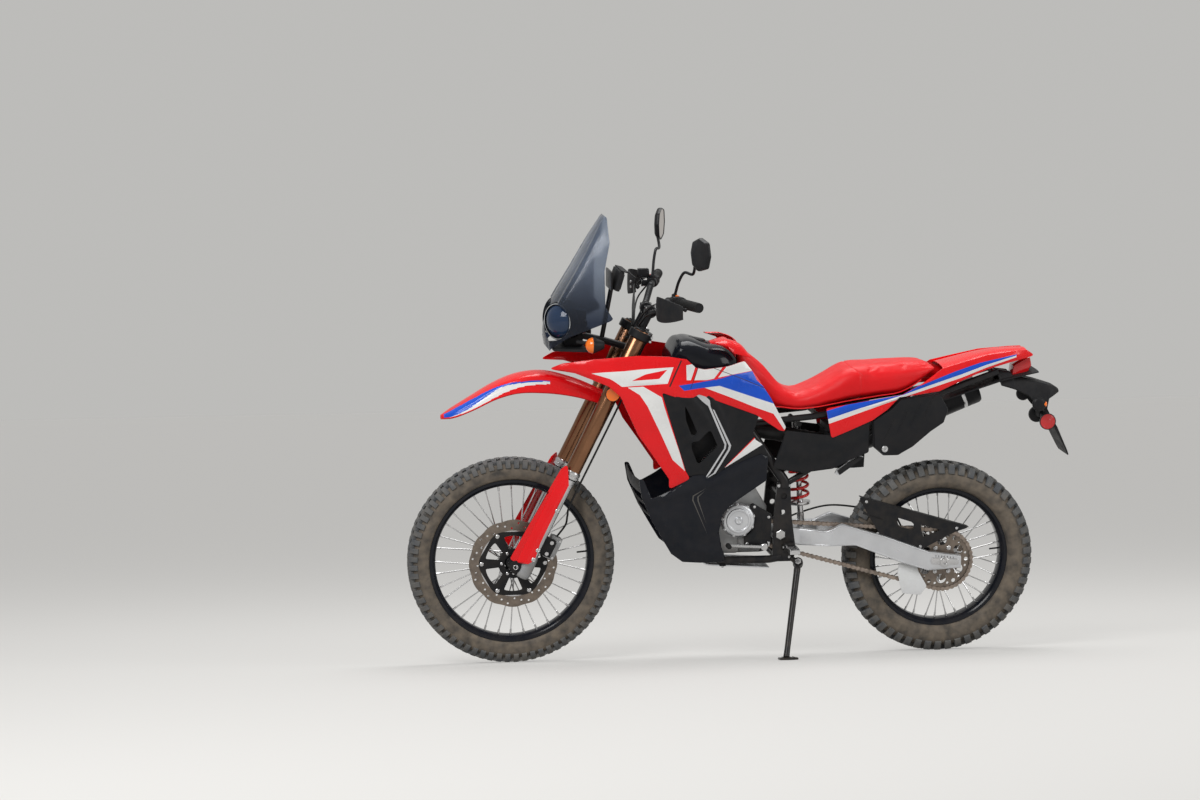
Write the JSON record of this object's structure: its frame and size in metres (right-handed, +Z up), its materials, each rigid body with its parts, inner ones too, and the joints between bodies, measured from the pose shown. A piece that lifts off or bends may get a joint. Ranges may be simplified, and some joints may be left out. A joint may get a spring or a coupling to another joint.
{
  "type": "dual sport motorcycle",
  "caption": "Tall off-road road motorcycle with a frame-mounted screen, spoked wheels and long fork, leaning on its side stand.",
  "frame": {"origin": "on the floor, at the middle of the box that the leaning motorcycle fills", "axes": "+X rearward along the wheelbase, +Y to the rider's right, +Z up"},
  "size_m": [2.2386, 0.9135, 1.5243],
  "materials": {
    "tyre_rubber": "knobbed rubber with dust on its walls",
    "black_alloy": "satin black",
    "silver_alloy": "satin",
    "bright_steel": "brushed",
    "bronze_tube": "anodised bronze",
    "black_paint": "semi-gloss black",
    "engine_alloy": "cast",
    "red_plastic": "gloss red with blue and white stripes",
    "gloss_black": "gloss black",
    "black_plastic": "fine grained",
    "grip_rubber": "ribbed",
    "seat_cover": "textured red vinyl",
    "screen_plastic": "tinted clear",
    "lamp_glass": "clear",
    "amber_lens": "ribbed amber",
    "red_lens": "ribbed red",
    "mirror_housing": "black shell with a glass face"
  },
  "bodies": {
    "root": {"airbox": "black_plastic", "chain": "bright_steel", "chain_guards": "black_plastic", "engine": "engine_alloy", "engine_covers": "silver_alloy", "exhaust_pipe": "bright_steel", "fairing_stay": "black_paint", "foot_levers": "silver_alloy", "foot_pegs": "silver_alloy", "front_signals": "amber_lens", "fuel_tank": "black_plastic", "headlamp_housing": "gloss_black", "headlamp_lenses": "lamp_glass", "instrument_panel": "black_plastic", "lower_cowls": "black_plastic", "main_frame": "black_paint", "muffler": "black_paint", "radiator": "silver_alloy", "rear_axle": "bright_steel", "rear_caliper": "black_alloy", "rear_mudguard": "black_plastic", "rear_shock": "black_paint", "rear_signals": "amber_lens", "rear_subframe": "black_paint", "seat": "seat_cover", "shrouds": "red_plastic", "side_covers": "black_plastic", "side_fairings": "gloss_black", "skid_plate": "black_plastic", "swingarm": "silver_alloy", "swingarm_pivot": "bright_steel", "tail_covers": "red_plastic", "tail_lamp": "red_lens", "tool_box": "black_plastic", "under_tail": "black_plastic", "windscreen": "screen_plastic"},
    "steering": {"triple_clamps": "black_alloy", "fork_outer_tubes": "bronze_tube", "fork_inner_tubes": "bright_steel", "front_axle": "bright_steel", "fork_guards": "red_plastic", "front_caliper": "black_alloy", "front_mudguard": "red_plastic", "handlebar": "black_alloy", "grips": "grip_rubber", "hand_controls": "black_plastic", "handguards": "black_plastic", "mirrors": "mirror_housing", "fork_reflectors": "amber_lens"},
    "front_wheel": {"front_tyre": "tyre_rubber", "front_rim": "black_alloy", "front_hub": "silver_alloy", "front_disc": "bright_steel"},
    "rear_wheel": {"rear_tyre": "tyre_rubber", "rear_rim": "black_alloy", "rear_hub": "silver_alloy", "rear_sprocket": "bright_steel", "rear_disc": "bright_steel"},
    "stand": {"side_stand": "black_paint"}
  },
  "joints": [
    {"name": "steering_turn", "type": "hinge", "parent": "root", "child": "steering", "pos_m": [-0.37345, 0.0628, 1.00876], "axis": [0.4384, -0.1561, 0.8851], "range_deg": [-40, 40]},
    {"name": "front_wheel_spin", "type": "hinge", "parent": "steering", "child": "front_wheel", "pos_m": [-0.772, 0.17974, 0.34555], "axis": [0, 0.9848, 0.1736], "continuous": true},
    {"name": "rear_wheel_spin", "type": "hinge", "parent": "root", "child": "rear_wheel", "pos_m": [0.683, 0.18356, 0.32388], "axis": [0, 0.9848, 0.1736], "continuous": true},
    {"name": "side_stand_fold", "type": "hinge", "parent": "root", "child": "stand", "pos_m": [0.178, 0.05293, 0.31608], "axis": [-0.1605, -0.9084, 0.3861], "range_deg": [0, 105.3]}
  ]
}
